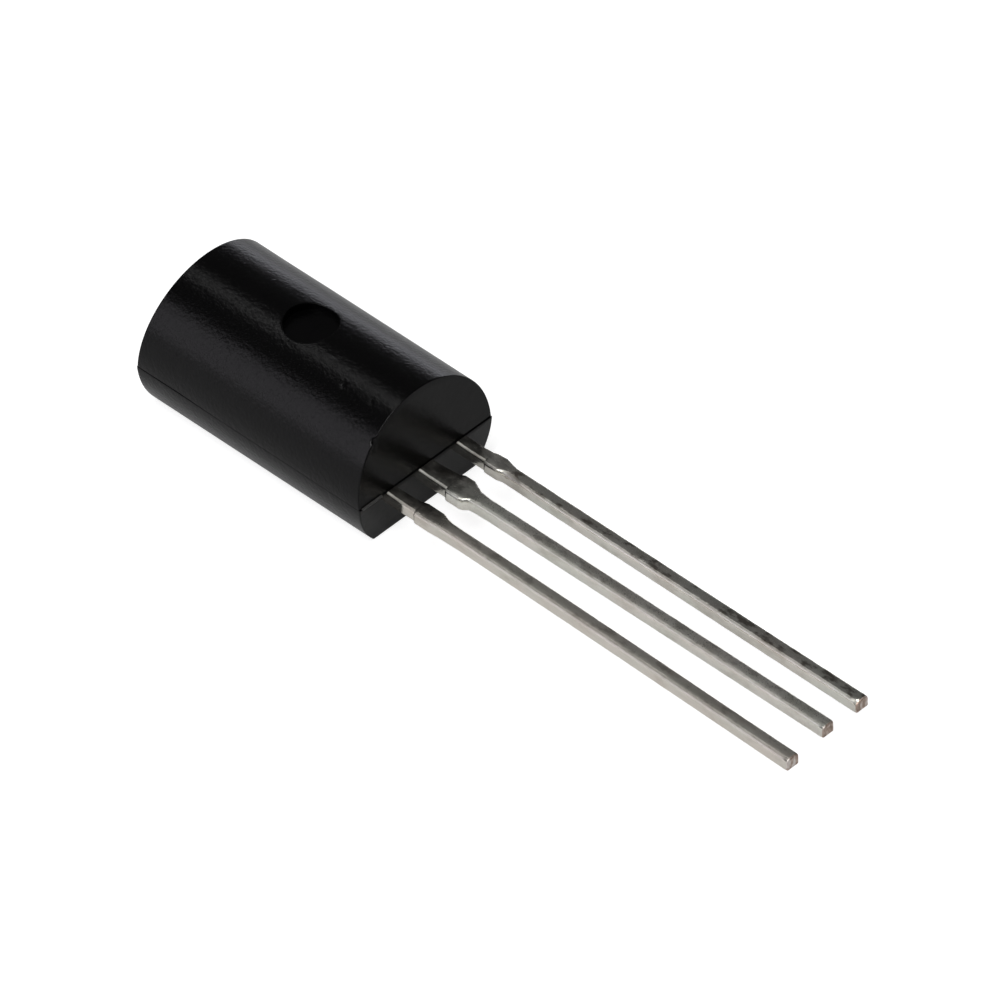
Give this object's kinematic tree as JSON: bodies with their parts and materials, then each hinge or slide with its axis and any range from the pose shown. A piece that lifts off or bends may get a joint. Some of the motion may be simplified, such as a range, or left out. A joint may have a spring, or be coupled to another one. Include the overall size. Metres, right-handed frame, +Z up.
{
  "type": "linear voltage regulator",
  "caption": "Small half-round black plastic case with a flat side and straight tinned leads in a row from one end; soldered to a board, it holds a supply voltage steady.",
  "frame": {"origin": "middle of the centre lead's section on the seating plane, where the leads leave the case", "axes": "+X out along the leads, +Y across them towards the output lead, +Z up from the flat to the rounded side"},
  "size_m": [0.0222, 0.0048, 0.0038],
  "materials": {
    "moulding": "black epoxy moulding compound, satin, fine grain",
    "tinned_lead": "matte tin plating over copper alloy, mottled",
    "glue": "silver-filled adhesive",
    "silicon": "polished silicon chip",
    "bond_wire": "bare gold wire"
  },
  "bodies": {
    "root": {"case": "moulding", "lead_output": "tinned_lead", "lead_ground": "tinned_lead", "lead_input": "tinned_lead", "chip_glue": "glue", "chip": "silicon", "wire_output": "bond_wire", "wire_ground": "bond_wire", "wire_input": "bond_wire"}
  },
  "joints": []
}
